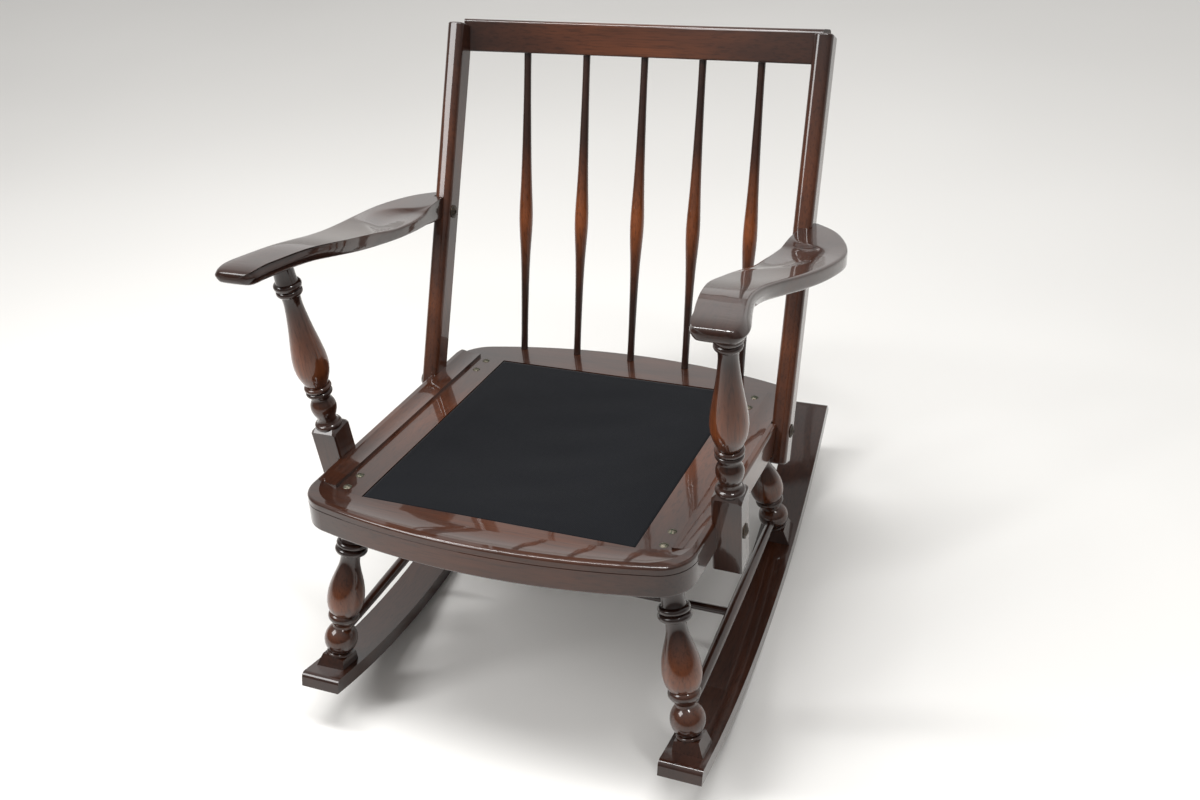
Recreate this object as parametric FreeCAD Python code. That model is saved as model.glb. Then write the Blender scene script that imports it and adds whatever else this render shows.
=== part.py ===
import FreeCAD, Part
import math
import os

# Rocking chair frame with a drop-in sling seat.
# Everything is first built on the bench: x to the right, y back along the seat, z square to the seat,
# with z = 0 on the flat top of the seat rails and y = 0 at the front edge of the opening.
# The finished chair is then rolled back on its rockers until it balances, and stood on z = 0.
V = FreeCAD.Vector

# Seat, in plan
seat_front_half = 257.0
seat_front_at = 5.0
seat_rear_half = 270.0
seat_rear_at = 385.0
bow_front = -68.0
bow_radius = 900.0
front_corner = 48.0
seat_back = 520.0
back_radius = 754.0
rear_corner = 58.0
opening_front_half = 183.0
opening_rear_half = 190.0
opening_depth = 436.0
front_joint_rise = 13.0
rear_joint_rise = 7.0

# Seat, in section
seat_under = -35.5
band_rise = 6.0
band_width = 9.5
crease_corner = 60.0
front_cove = 37.0
cove_hollow = 1.4
step_front_half = 224.5
step_rear_half = 232.0
step_rise = 4.5
edge_round = 4.0
under_round = 3.0
groove_drop = 11.5
groove_size = 1.2
groove_depth = 0.8
ledge_width = 12.0
ledge_drop = 13.0

# Drop-in sling
fabric_thick = 1.6
fabric_sunk = 1.4
sling_clearance = 0.4
slat_width = 24.0

# Turned legs, measured from the rocker's top face along the leg
leg_pattern_length = 234.5
plinth_base = 40.0
plinth_top = 32.0
plinth_height = 16.0
ball_radius = 22.5
ball_height = 38.6
vase_radius = 25.0
collar_radius = 21.5
leg_neck = 13.0
leg_disc_radius = 30.0
legs = {
    "front": ((213.6, 30.2), (40.2, -34.7)),
    "rear": ((216.0, 409.0), (38.0, 40.0)),
}
leg_tenon_radius = 7.0
leg_tenon_length = 12.0

# Rockers
rocker_width = 56.5
rocker_thick = 20.0
rocker_front_radius = 990.0
rocker_rear_radius = 768.0
rocker_front_reach = 370.9
rocker_rear_reach = 375.1
rest_tilt = 10.24
rest_point = (324.2, -290.95)
rocker_axis_half = 253.6
rocker_tip_round = 7.0

# Stretchers
side_stretcher_radius = 8.0
side_stretcher_end = 6.0
stretcher_front_height = 45.5
stretcher_rear_height = 32.5
stretcher_inset = 9.0
cross_stretcher_radius = 5.8
cross_stretcher_at = 204.0
cross_stretcher_bite = 5.0

# Back posts
post_width = 26.0
post_depth = 35.0
post_length = 577.0
post_lean = 19.0
post_foot = (324.0, -46.0)
post_inner_half = 260.0
post_toe_in = 2.5
post_front_round = 9.5
post_rear_round = 2.5

# Top rail and spindles
rail_radius = 880.0
rail_thick = 22.0
rail_height = 46.0
rail_lean = 9.8
rail_middle_y = 580.0
rail_under = 446.0
rail_round = 5.0
rail_lap = 12.0
spindle_pitch = 89.0
spindle_foot_y = (496.0, 494.0, 489.0)
spindle_end_radius = 5.5
spindle_waist_radius = 5.9
spindle_swell_radius = 10.5
spindle_swell_at = 206.0
spindle_tenon_radius = 4.5
spindle_foot_tenon = 18.0
spindle_top_tenon = 14.0

# Arm posts, measured up from the underside of the square block
arm_post_foot = (271.5, 99.0, -63.7)
arm_post_head = (277.5, 35.5, 287.6)
arm_post_pattern_length = 357.0
block_size = 37.0
block_length = 112.0
block_lap = 253.0
block_round = 2.5
arm_post_tenon_radius = 8.0
arm_post_tenon_length = 14.0

# Arms: each station gives y along the seat, inner and outer half widths from the middle of the chair,
# the height of the top, the thickness, and the width of the hollow along the inner edge.
arm_stations = (
    (-48.2, 277.0, 296.0, 298.0, 3.0, 0),
    (-48.0, 269.5, 303.5, 301.6, 9.5, 0),
    (-46.2, 263.0, 309.5, 304.2, 14.5, 0),
    (-41.5, 258.8, 313.8, 306.2, 18.6, 0),
    (-32.0, 256.4, 316.4, 307.8, 21.5, 0),
    (-18.0, 255.6, 316.4, 308.2, 21.8, 0),
    (0.0, 251.6, 312.3, 308.0, 20.8, 0),
    (20.0, 248.1, 307.8, 307.7, 20.4, 0),
    (40.0, 245.0, 304.0, 306.9, 20.2, 0),
    (60.0, 242.5, 301.5, 304.8, 19.8, 0),
    (80.0, 240.0, 300.8, 301.7, 19.8, 0),
    (100.0, 238.8, 301.2, 298.1, 19.8, 0),
    (120.0, 239.4, 302.9, 294.0, 19.8, 0),
    (145.0, 241.5, 307.1, 288.7, 19.8, 0),
    (170.0, 243.8, 313.0, 283.6, 19.8, 0),
    (200.0, 246.5, 321.1, 277.8, 19.8, 6),
    (230.0, 248.7, 329.0, 272.7, 19.8, 26),
    (260.0, 250.3, 336.0, 268.2, 20.0, 50),
    (290.0, 252.0, 342.0, 264.5, 20.0, 62),
    (319.0, 255.0, 346.0, 261.5, 20.5, 66),
    (340.0, 257.8, 347.5, 260.2, 21.5, 61),
    (357.0, 260.3, 346.5, 259.6, 22.5, 48),
    (368.0, 262.0, 344.5, 259.4, 24.0, 18),
    (385.0, 264.5, 340.0, 259.4, 27.0, 0),
    (405.0, 267.0, 332.0, 259.4, 30.0, 0),
    (425.0, 268.0, 321.5, 259.4, 32.0, 0),
    (442.0, 268.0, 307.0, 259.4, 32.0, 0),
    (455.0, 268.0, 290.0, 259.2, 31.0, 0),
)
arm_edge_round = 8.5
arm_full_thick = 20.0
arm_front_soft = 4.5
arm_soft_until = 150.0
arm_hollow_depth = 4.5

# Fastenings
seat_screw_at = ((213.0, 15.5), (213.0, 46.5), (216.0, 392.0), (216.0, 426.0))
seat_screw_head = 5.8
seat_screw_dome = 2.6
seat_screw_shank = 2.3
seat_screw_tip = -54.0
screw_slot = 1.2
rocker_screw_head = 5.0
rocker_screw_shank = 2.3
rocker_screw_length = 42.0
rocker_screw_sink = 2.0
bolt_head = 8.0
bolt_dome = 3.0
bolt_shank = 3.5
bolt_washer = 9.5
bolt_washer_thick = 1.2
insert_radius = 6.0
insert_length = 16.0
arm_post_bolt_at = (85.7, -7.2)
arm_post_bolt_reach = 36.0
back_post_bolt_at = (354.1, -7.5)
back_post_bolt_reach = 34.0
arm_bolt_at = (439.0, 235.0)
arm_bolt_reach = 18.0
dowel_radius = 4.5
dowel_reach = 19.0
dowel_height = -17.5
front_dowels_at = (199.0, 237.0)
rear_dowels_at = (203.0, 238.0)
rail_dowel_radius = 3.0
rail_dowel_height = 22.0
rail_dowel_sunk = 1.2
rail_dowel_past = 12.0

# Fits
glue_gap = 0.1

# Weights in kg per cubic millimetre, for the balance on the rockers
wood_density = 600e-9
fabric_density = 300e-9
steel_density = 7850e-9


# Small tools of the bench
def line(a, b):
    return Part.LineSegment(a, b).toShape()


def arc(a, middle, b):
    return Part.Arc(a, middle, b).toShape()


def smooth(points):
    curve = Part.BSplineCurve()
    curve.interpolate(points)
    return curve.toShape()


def polygon_face(points):
    return Part.Face(Part.makePolygon(list(points) + [points[0]]))


def prism(points, low, high):
    """Upright prism over a plan given as (x, y) pairs."""
    face = polygon_face([V(x, y, low) for x, y in points])
    return face.extrude(V(0, 0, high - low))


def peg(start, end, radius):
    axis = end - start
    return Part.makeCylinder(radius, axis.Length, start, axis)


def both_sides(shape):
    return {"right": shape, "left": shape.mirror(V(0, 0, 0), V(1, 0, 0))}


def along(start, direction, across=V(1, 0, 0)):
    """Placement whose z runs along the direction and whose x keeps as near to 'across' as it can."""
    up = V(direction).normalize()
    side = across - up * across.dot(up)
    side.normalize()
    return FreeCAD.Placement(start, FreeCAD.Rotation(side, up.cross(side), up, "ZXY"))


def placed(shape, placement):
    moved = shape.copy()
    moved.Placement = placement.multiply(moved.Placement)
    return moved


def bead(r1, s1, r2, s2, bulge):
    """Half-round ring of a turning from (r1, s1) to (r2, s2), standing out by the bulge."""
    middle = V((r1 + r2) / 2 + bulge, 0, (s1 + s2) / 2)
    return arc(V(r1, 0, s1), middle, V(r2, 0, s2))


def turning(edges):
    """Solid turned about z from outline edges that follow each other up the axis."""
    first = edges[0].valueAt(edges[0].FirstParameter)
    last = edges[-1].valueAt(edges[-1].LastParameter)
    foot = V(0, 0, first.z)
    head = V(0, 0, last.z)
    wire = Part.Wire([line(foot, first)] + edges + [line(last, head), line(head, foot)])
    return Part.Face(wire).revolve(V(0, 0, 0), V(0, 0, 1), 360)


def control_loft(rings):
    """Smooth closed skin drawn by rings of control points, capped flat at both ends."""
    count = len(rings[0])
    poles = [[ring[i] for ring in rings] for i in range(count)]
    degree = 2
    spans = len(rings) - degree
    surface = Part.BSplineSurface()
    surface.buildFromPolesMultsKnots(
        poles,
        [1] * (count + 1),
        [degree + 1] + [1] * (spans - 1) + [degree + 1],
        [float(i) for i in range(count + 1)],
        [float(i) for i in range(spans + 1)],
        True, False, degree, degree)
    skin = surface.toShape()
    caps = []
    for edge in (surface.vIso(0.0), surface.vIso(float(spans))):
        caps.append(Part.Face(Part.Wire([edge.toShape()])))
    shell = Part.makeShell([skin] + caps)
    shell.sewShape()
    solid = Part.Solid(shell)
    if solid.Volume < 0:
        solid.reverse()
    return solid


# Seat outline
def rim(inset, corner_front, corner_rear):
    """Points and centres of the seat's right-hand outline, moved in by the inset."""
    start = V(seat_front_half - inset, seat_front_at, 0)
    end = V(seat_rear_half - inset, seat_rear_at, 0)
    run = (end - start).normalize()
    inward = V(-run.y, run.x, 0)
    result = {}
    ends = (
        ("front", V(0, bow_front + bow_radius, 0), bow_radius - inset, corner_front, -1),
        ("rear", V(0, seat_back - back_radius, 0), back_radius - inset, corner_rear, 1),
    )
    for name, centre, radius, corner, sign in ends:
        offset = start + inward * corner - centre
        half = offset.dot(run)
        root = math.sqrt(half * half - offset.dot(offset) + (radius - corner) ** 2)
        pivot = start + inward * corner + run * (-half + sign * root)
        on_curve = centre + (pivot - centre).normalize() * radius
        on_side = pivot - inward * corner
        bisector = ((on_curve - pivot) + (on_side - pivot)).normalize()
        result[name] = {
            "centre": centre, "radius": radius, "pivot": pivot, "corner": corner,
            "on_curve": on_curve, "on_side": on_side, "middle": pivot + bisector * corner,
            "crown": V(0, centre.y + sign * radius, 0),
        }
    return result


def flip(point):
    return V(-point.x, point.y, point.z)


def seat_blank():
    """Seat-shaped block with its top and bottom edges rounded."""
    edge = rim(0.0, front_corner, rear_corner)
    front, rear = edge["front"], edge["rear"]
    edges = [
        arc(flip(front["on_curve"]), front["crown"], front["on_curve"]),
        arc(front["on_curve"], front["middle"], front["on_side"]),
        line(front["on_side"], rear["on_side"]),
        arc(rear["on_side"], rear["middle"], rear["on_curve"]),
        arc(rear["on_curve"], rear["crown"], flip(rear["on_curve"])),
        arc(flip(rear["on_curve"]), flip(rear["middle"]), flip(rear["on_side"])),
        line(flip(rear["on_side"]), flip(front["on_side"])),
        arc(flip(front["on_side"]), flip(front["middle"]), flip(front["on_curve"])),
    ]
    face = Part.Face(Part.Wire(edges))
    face.translate(V(0, 0, seat_under))
    block = face.extrude(V(0, 0, band_rise - seat_under))
    top = [e for e in block.Edges if abs(e.BoundBox.ZMin - band_rise) < 0.01]
    bottom = [e for e in block.Edges if abs(e.BoundBox.ZMax - seat_under) < 0.01]
    return block, block.makeFillet(edge_round, top).makeFillet(under_round, bottom)


def ring_sector(section, centre, start_point, end_point):
    """Face in the r, z plane swept about an upright axis from one point's bearing to another's."""
    first = math.degrees(math.atan2(start_point.y - centre.y, start_point.x - centre.x))
    last = math.degrees(math.atan2(end_point.y - centre.y, end_point.x - centre.x))
    sector = section.revolve(V(0, 0, 0), V(0, 0, 1), (last - first) % 360)
    sector.rotate(V(0, 0, 0), V(0, 0, 1), first)
    sector.translate(centre)
    return sector


def cove_section(outer, inner):
    """What the cove and the flat inside it take away, from the crease at radius 'outer' inwards."""
    above = band_rise + 10.0
    fall = outer - front_cove
    wire = Part.Wire([
        arc(V(outer, 0, band_rise), V((outer + fall) / 2, 0, band_rise / 2 - cove_hollow), V(fall, 0, 0)),
        line(V(fall, 0, 0), V(inner, 0, 0)),
        line(V(inner, 0, 0), V(inner, 0, above)),
        line(V(inner, 0, above), V(outer, 0, above)),
        line(V(outer, 0, above), V(outer, 0, band_rise)),
    ])
    return Part.Face(wire)


def groove_section(radius):
    low = band_rise - groove_drop
    points = [V(radius - groove_depth, 0, low), V(radius + 3, 0, low),
              V(radius + 3, 0, low + groove_size), V(radius - groove_depth, 0, low + groove_size)]
    return polygon_face(points)


def opening_half(y):
    return opening_front_half + (opening_rear_half - opening_front_half) * y / opening_depth


def joint_y(x, front):
    """Height of a seat joint line at a half width, from the opening's corner outwards."""
    if front:
        slope = front_joint_rise / (seat_front_half - opening_front_half)
        return slope * (x - opening_front_half)
    slope = rear_joint_rise / (seat_rear_half - opening_rear_half)
    return opening_depth + slope * (x - opening_rear_half)


def seat_regions():
    """Plans that part the seat into its four rails."""
    far = 400.0
    ahead, behind = -300.0, 800.0
    front_in, rear_in = ledge_width, opening_depth - ledge_width
    f, r = opening_half(front_in), opening_half(rear_in)
    front = [(-far, ahead), (far, ahead), (far, joint_y(far, True)), (opening_front_half, 0),
             (f, front_in), (-f, front_in), (-opening_front_half, 0), (-far, joint_y(far, True))]
    rear = [(far, behind), (-far, behind), (-far, joint_y(far, False)), (-opening_rear_half, opening_depth),
            (-r, rear_in), (r, rear_in), (opening_rear_half, opening_depth), (far, joint_y(far, False))]
    side = [(far, joint_y(far, True)), (far, joint_y(far, False)), (opening_rear_half, opening_depth),
            (r, rear_in), (0, rear_in), (0, front_in), (f, front_in), (opening_front_half, 0)]
    return front, rear, side


def seat_rails():
    raw, blank = seat_blank()
    low, high = seat_under - 20.0, band_rise + 20.0
    pocket = prism([(-opening_front_half, 0), (opening_front_half, 0),
                    (opening_rear_half, opening_depth), (-opening_rear_half, opening_depth)],
                   -ledge_drop, high)
    front_in, rear_in = ledge_width, opening_depth - ledge_width
    f, r = opening_half(front_in) - ledge_width, opening_half(rear_in) - ledge_width
    hole = prism([(-f, front_in), (f, front_in), (r, rear_in), (-r, rear_in)], low, high)
    blank = blank.cut(pocket).cut(hole)
    front_plan, rear_plan, side_plan = seat_regions()
    front = carve_front(blank.common(prism(front_plan, low, high)))
    rear = carve_rear(blank.common(prism(rear_plan, low, high)))
    side = carve_side(blank.common(prism(side_plan, low, high)))
    return raw, front, rear, side


def carve_front(rail):
    crease = rim(band_width, crease_corner, rear_corner)["front"]
    edge = rim(0.0, front_corner, rear_corner)["front"]
    bow = ring_sector(cove_section(crease["radius"], crease["radius"] - 120.0), crease["centre"],
                      flip(crease["on_curve"]), crease["on_curve"])
    corner = ring_sector(cove_section(crease["corner"], 0.0), crease["pivot"],
                         crease["on_curve"], crease["on_side"])
    rail = rail.cut(bow)
    for cutter in both_sides(corner).values():
        rail = rail.cut(cutter)
    rail = rail.cut(ring_sector(groove_section(edge["radius"]), edge["centre"],
                                flip(edge["on_curve"]), edge["on_curve"]))
    groove = ring_sector(groove_section(edge["corner"]), edge["pivot"], edge["on_curve"], edge["on_side"])
    for cutter in both_sides(groove).values():
        rail = rail.cut(cutter)
    return rail


def side_line(y, inset):
    slope = (seat_rear_half - seat_front_half) / (seat_rear_at - seat_front_at)
    return seat_front_half + slope * (y - seat_front_at) - inset


def carve_side(rail):
    """Flat inside the step, then the hollow from the step's top out to the crease."""
    wires = []
    above = band_rise + 10.0
    for y in (-40.0, 500.0):
        share = y / opening_depth
        step = step_front_half + (step_rear_half - step_front_half) * share
        crease = side_line(y, band_width)
        middle = V((step + crease) / 2, y, (step_rise + band_rise) / 2 - cove_hollow)
        wires.append(Part.Wire([
            line(V(0, y, 0), V(step, y, 0)),
            line(V(step, y, 0), V(step, y, step_rise)),
            arc(V(step, y, step_rise), middle, V(crease, y, band_rise)),
            line(V(crease, y, band_rise), V(crease, y, above)),
            line(V(crease, y, above), V(0, y, above)),
            line(V(0, y, above), V(0, y, 0)),
        ]))
    return rail.cut(Part.makeLoft(wires, True, True))


def carve_rear(rail):
    """Rear rail planed flat at z = 0, its outer top edge rounded again."""
    far = 400.0
    rail = rail.cut(prism([(-far, 0), (far, 0), (far, 700), (-far, 700)], 0, band_rise + 10))
    outer = []
    for e in rail.Edges:
        box = e.BoundBox
        middle = e.valueAt((e.FirstParameter + e.LastParameter) / 2)
        curved = e.Curve.TypeId == "Part::GeomCircle"
        if curved and abs(box.ZMin) < 0.01 and abs(box.ZMax) < 0.01 and middle.y > opening_depth:
            outer.append(e)
    return rail.makeFillet(edge_round, outer)


# Rockers: two arcs that meet at the point the chair rests on, the flatter one ahead of it
def plumb():
    """Straight up from the floor, seen from the bench, with the chair at rest."""
    tilt = math.radians(rest_tilt)
    return V(0, -math.sin(tilt), math.cos(tilt))


def rocker_arc(part):
    """Centre and radius of the front or rear arc of the rockers' underside."""
    radius = rocker_front_radius if part == "front" else rocker_rear_radius
    return V(0, *rest_point) + plumb() * radius, radius


def rocker_point(part, depth, share):
    """Point at a share of the way from the rest point to that end, at a depth above the underside."""
    centre, radius = rocker_arc(part)
    reach = -rocker_front_reach if part == "front" else rocker_rear_reach
    turn = math.degrees(math.asin(reach / radius)) * share
    down = FreeCAD.Rotation(V(1, 0, 0), turn).multVec(plumb() * -1)
    return centre + down * (radius - depth)


def rocker_drum(part):
    """Everything above the rocker's top face under that arc."""
    centre, radius = rocker_arc(part)
    return Part.makeCylinder(radius - rocker_thick, 800, centre - V(400, 0, 0), V(1, 0, 0))


def rocker():
    """One bent bar; the top edges of both ends are rounded."""
    def side(part, depth, from_end):
        stops = (1.0, 0.5, 0.0) if from_end else (0.0, 0.5, 1.0)
        return arc(*[rocker_point(part, depth, share) for share in stops])

    t = rocker_thick
    edges = [
        side("front", 0, True), side("rear", 0, False),
        line(rocker_point("rear", 0, 1), rocker_point("rear", t, 1)),
        side("rear", t, True), side("front", t, False),
        line(rocker_point("front", t, 1), rocker_point("front", 0, 1)),
    ]
    face = Part.Face(Part.Wire(edges))
    face.translate(V(rocker_axis_half - rocker_width / 2, 0, 0))
    bar = face.extrude(V(rocker_width, 0, 0))
    corners = [rocker_point(part, t, 1) for part in ("front", "rear")]
    return bar.makeFillet(rocker_tip_round, [e for e in bar.Edges if crosses_at(e, corners)])


def crosses_at(edge, corners):
    """True for an edge that runs straight across the bar at one of the corners."""
    middle = (edge.Vertexes[0].Point + edge.Vertexes[-1].Point) / 2
    return any(math.hypot(middle.y - c.y, middle.z - c.z) < 0.1 for c in corners)


# Turned legs
def leg_edges(length):
    """Outline of a leg above its plinth; a shorter leg has the same pattern drawn closer."""
    squeeze = (length - plinth_height) / (leg_pattern_length - plinth_height)

    def s(height):
        return plinth_height + (height - plinth_height) * squeeze

    waist = 13.4
    disc = 15.0
    ring_foot, ring_mid, ring_top = 60.5, 72.0, 78.5
    edges = [
        bead(disc, s(15.0), disc - 0.8, s(20.4), 2.6),
        arc(V(disc - 0.8, 0, s(20.4)), V(ball_radius, 0, s(ball_height)), V(waist, 0, s(57.2))),
        line(V(waist, 0, s(57.2)), V(waist, 0, s(ring_foot))),
        smooth([V(waist, 0, s(ring_foot)), V(17.6, 0, s(66.0)), V(20.9, 0, s(ring_mid)),
                V(20.6, 0, s(75.6)), V(18.6, 0, s(ring_top))]),
        smooth([V(18.6, 0, s(ring_top)), V(22.6, 0, s(86.0)), V(vase_radius, 0, s(102.0)),
                V(23.2, 0, s(118.0)), V(16.8, 0, s(140.0)), V(leg_neck, 0, s(158.0)),
                V(leg_neck + 1.6, 0, s(167.5))]),
        line(V(leg_neck + 1.6, 0, s(167.5)), V(leg_neck + 4.4, 0, s(167.6))),
        bead(leg_neck + 4.4, s(167.6), leg_neck + 4.4, s(177.0), collar_radius - leg_neck - 4.4),
        bead(leg_neck + 4.4, s(177.0), leg_neck + 2.6, s(185.6), collar_radius - leg_neck - 4.6),
        smooth([V(leg_neck + 2.6, 0, s(185.6)), V(leg_neck + 1.6, 0, s(192.0)),
                V(leg_neck + 4.4, 0, s(206.0)), V(leg_disc_radius - 4.0, 0, s(219.0)),
                V(leg_disc_radius, 0, s(224.0))]),
        line(V(leg_disc_radius, 0, s(224.0)), V(leg_disc_radius, 0, s(262.0))),
    ]
    return edges


def frustum(base, top, low, high):
    """Square block that tapers from base to top."""
    wires = []
    for size, height in ((base, low), (top, high)):
        h = size / 2
        wires.append(Part.makePolygon([V(-h, -h, height), V(h, -h, height), V(h, h, height),
                                       V(-h, h, height), V(-h, -h, height)]))
    return Part.makeLoft(wires, True, True)


def leg_axis(part):
    """Foot on the rocker's top face and head on the seat's underside."""
    top, foot_spread = legs[part]
    head = V(top[0], top[1], seat_under)
    centre, radius = rocker_arc(part)
    y = top[1] + foot_spread[1]
    z = centre.z - math.sqrt((radius - rocker_thick) ** 2 - (y - centre.y) ** 2)
    return V(top[0] + foot_spread[0], y, z), head


def leg(part):
    foot, head = leg_axis(part)
    length = (head - foot).Length
    turned = turning(leg_edges(length))
    overrun = 14.0
    taper = (plinth_base - plinth_top) / plinth_height
    block = frustum(plinth_base + taper * overrun, plinth_top, -overrun, plinth_height)
    body = placed(turned.fuse(block), along(foot, head - foot))
    body = body.cut(Part.makeBox(600, 1200, 100, V(0, -300, seat_under)))
    body = body.common(rocker_drum(part))
    direction = (head - foot).normalize()
    tenon = peg(foot - direction * leg_tenon_length, foot + direction * 5.0, leg_tenon_radius)
    return body.fuse(tenon).removeSplitter()


def leg_mortise(part):
    foot, head = leg_axis(part)
    direction = (head - foot).normalize()
    return peg(foot - direction * (leg_tenon_length + glue_gap), foot + direction * 20.0,
               leg_tenon_radius + glue_gap)


# Stretchers
def on_leg(part, height):
    foot, head = leg_axis(part)
    return foot + (head - foot).normalize() * height


def swelled_bar(length, end, middle):
    return turning([smooth([V(end, 0, 0),
                            V((end + middle) / 2 + 0.4, 0, length * 0.2), V(middle, 0, length / 2),
                            V((end + middle) / 2 + 0.4, 0, length * 0.8), V(end, 0, length)])])


def side_stretcher_ends():
    front = on_leg("front", stretcher_front_height)
    rear = on_leg("rear", stretcher_rear_height)
    run = (rear - front).normalize()
    return front + run * stretcher_inset, rear - run * stretcher_inset


def side_stretcher():
    start, end = side_stretcher_ends()
    bar = swelled_bar((end - start).Length, side_stretcher_end, side_stretcher_radius)
    return placed(bar, along(start, end - start))


def side_stretcher_room():
    """Sockets for the bar's ends in the legs."""
    start, end = side_stretcher_ends()
    run = (end - start).normalize()
    bar = swelled_bar((end - start).Length + 2 * glue_gap, side_stretcher_end + glue_gap,
                      side_stretcher_radius + glue_gap)
    return placed(bar, along(start - run * glue_gap, run))


def cross_stretcher_end():
    start, end = side_stretcher_ends()
    share = (cross_stretcher_at - start.y) / (end.y - start.y)
    point = start + (end - start) * share
    return V(point.x - side_stretcher_radius + cross_stretcher_bite, point.y, point.z)


def cross_stretcher(extra=0.0):
    end = cross_stretcher_end() + V(extra, 0, 0)
    return peg(flip(end), end, cross_stretcher_radius + extra)


# Back posts
def post_direction():
    lean = math.radians(post_lean)
    up = V(0, math.sin(lean), math.cos(lean))
    return (up * post_length - V(post_toe_in, 0, 0)).normalize()


def post_placement():
    start = V(post_inner_half, post_foot[0], post_foot[1])
    return along(start, post_direction())


def post_blank():
    return placed(Part.makeBox(post_width, post_depth, post_length), post_placement())


def back_post():
    box = Part.makeBox(post_width, post_depth, post_length)
    front, rear, ends = [], [], []
    for e in box.Edges:
        bound = e.BoundBox
        if bound.ZLength > 1:
            (front if bound.YMax < 1 else rear).append(e)
    box = box.makeFillet(post_front_round, front)
    rear = [e for e in box.Edges if e.BoundBox.ZLength > 1 and e.BoundBox.YMin > post_depth - 0.1]
    box = box.makeFillet(post_rear_round, rear)
    for e in box.Edges:
        bound = e.BoundBox
        if bound.ZLength < 0.01:
            ends.append(e)
    box = box.makeFillet(post_rear_round, ends)
    return placed(box, post_placement())


# Top rail and spindles
def rail_placement():
    lean = math.radians(rail_lean)
    return along(V(0, rail_middle_y, rail_under), V(0, math.sin(lean), math.cos(lean)))


def rail_section():
    """Cross-section of the top rail in the r, z plane, with rounded edges above and smaller ones below."""
    near, far = rail_radius - rail_thick / 2, rail_radius + rail_thick / 2
    high, r, q = rail_height, rail_round, rail_round * 0.6
    bend = 1 - math.sqrt(0.5)
    wire = Part.Wire([
        line(V(near + q, 0, 0), V(far - q, 0, 0)),
        arc(V(far - q, 0, 0), V(far - q * bend, 0, q * bend), V(far, 0, q)),
        line(V(far, 0, q), V(far, 0, high - r)),
        arc(V(far, 0, high - r), V(far - r * bend, 0, high - r * bend), V(far - r, 0, high)),
        line(V(far - r, 0, high), V(near + r, 0, high)),
        arc(V(near + r, 0, high), V(near + r * bend, 0, high - r * bend), V(near, 0, high - r)),
        line(V(near, 0, high - r), V(near, 0, q)),
        arc(V(near, 0, q), V(near + q * bend, 0, q * bend), V(near + q, 0, 0)),
    ])
    return Part.Face(wire)


def top_rail():
    """Slab bent to the back's curve; its ends are let into the rear corners of the posts."""
    reach = post_inner_half - post_toe_in + rail_lap
    end = V(reach, math.sqrt(rail_radius ** 2 - reach ** 2) - rail_radius, 0)
    slab = ring_sector(rail_section(), V(0, -rail_radius, 0), end, flip(end))
    return placed(slab, rail_placement())


def spindle_ends(index):
    """Foot on the seat and head under the top rail; index 0 is the middle one."""
    x = spindle_pitch * index
    order = abs(index)
    foot = V(x, spindle_foot_y[order], 0)
    drop = rail_radius - math.sqrt(rail_radius ** 2 - x ** 2)
    head = rail_placement().multVec(V(x, -drop, 0))
    return foot, head


def spindle_edges(length):
    waist_at = 89.0
    upper = (length - spindle_swell_at) / 3
    shape = [V(spindle_end_radius, 0, 0), V(spindle_waist_radius, 0, waist_at),
             V(8.2, 0, 163.0), V(spindle_swell_radius, 0, spindle_swell_at), V(9.0, 0, 255.0),
             V(6.6, 0, spindle_swell_at + 1.6 * upper), V(spindle_end_radius, 0, length)]
    return [
        line(V(spindle_tenon_radius, 0, -spindle_foot_tenon), V(spindle_tenon_radius, 0, 0)),
        line(V(spindle_tenon_radius, 0, 0), shape[0]),
        smooth(shape),
        line(shape[-1], V(spindle_tenon_radius, 0, length)),
        line(V(spindle_tenon_radius, 0, length), V(spindle_tenon_radius, 0, length + spindle_top_tenon)),
    ]


def spindle(index):
    foot, head = spindle_ends(index)
    solid = placed(turning(spindle_edges((head - foot).Length)), along(foot, head - foot))
    return solid


def spindle_sockets(index):
    foot, head = spindle_ends(index)
    run = (head - foot).normalize()
    radius = spindle_tenon_radius + glue_gap
    return (peg(foot - run * (spindle_foot_tenon + glue_gap), foot + run * 8.0, radius),
            peg(head - run * 8.0, head + run * (spindle_top_tenon + glue_gap), radius))


# Arm posts
def arm_post_axis():
    return V(*arm_post_foot), V(*arm_post_head)


def arm_post_edges(length):
    """Outline above the square block; heights are measured up from the block's underside."""
    squeeze = (length - block_length) / (arm_post_pattern_length - block_length)

    def s(height):
        return block_length + (height - block_length) * squeeze

    return [
        line(V(15.5, 0, block_length - 8.0), V(15.5, 0, block_length + 1.0)),
        bead(15.5, block_length + 1.0, 14.6, s(122.0), 3.0),
        smooth([V(14.6, 0, s(122.0)), V(12.6, 0, s(127.0)), V(15.2, 0, s(136.0)), V(17.0, 0, s(144.0)),
                V(15.4, 0, s(153.0)), V(12.2, 0, s(161.0)), V(13.4, 0, s(165.0))]),
        bead(13.4, s(165.0), 14.2, s(172.5), 3.6),
        bead(14.2, s(172.5), 14.2, s(180.5), 3.6),
        smooth([V(14.2, 0, s(180.5)), V(17.0, 0, s(187.0)), V(21.6, 0, s(202.0)), V(22.5, 0, s(216.0)),
                V(20.4, 0, s(236.0)), V(15.8, 0, s(264.0)), V(12.4, 0, s(290.0)), V(11.5, 0, s(306.0)),
                V(12.4, 0, s(314.0))]),
        bead(12.4, s(314.0), 14.4, s(323.0), 3.2),
        bead(14.4, s(323.0), 14.0, s(333.0), 3.4),
        smooth([V(14.0, 0, s(333.0)), V(13.2, 0, s(342.0)), V(13.4, 0, s(354.0)), V(14.0, 0, s(372.0))]),
    ]


def block_edge_round(box):
    upright = [e for e in box.Edges if e.BoundBox.ZLength > 1]
    box = box.makeFillet(block_round, upright)
    under = [e for e in box.Edges if e.BoundBox.ZMax < 0.01]
    return box.makeFillet(block_round * 0.6, under)


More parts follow.
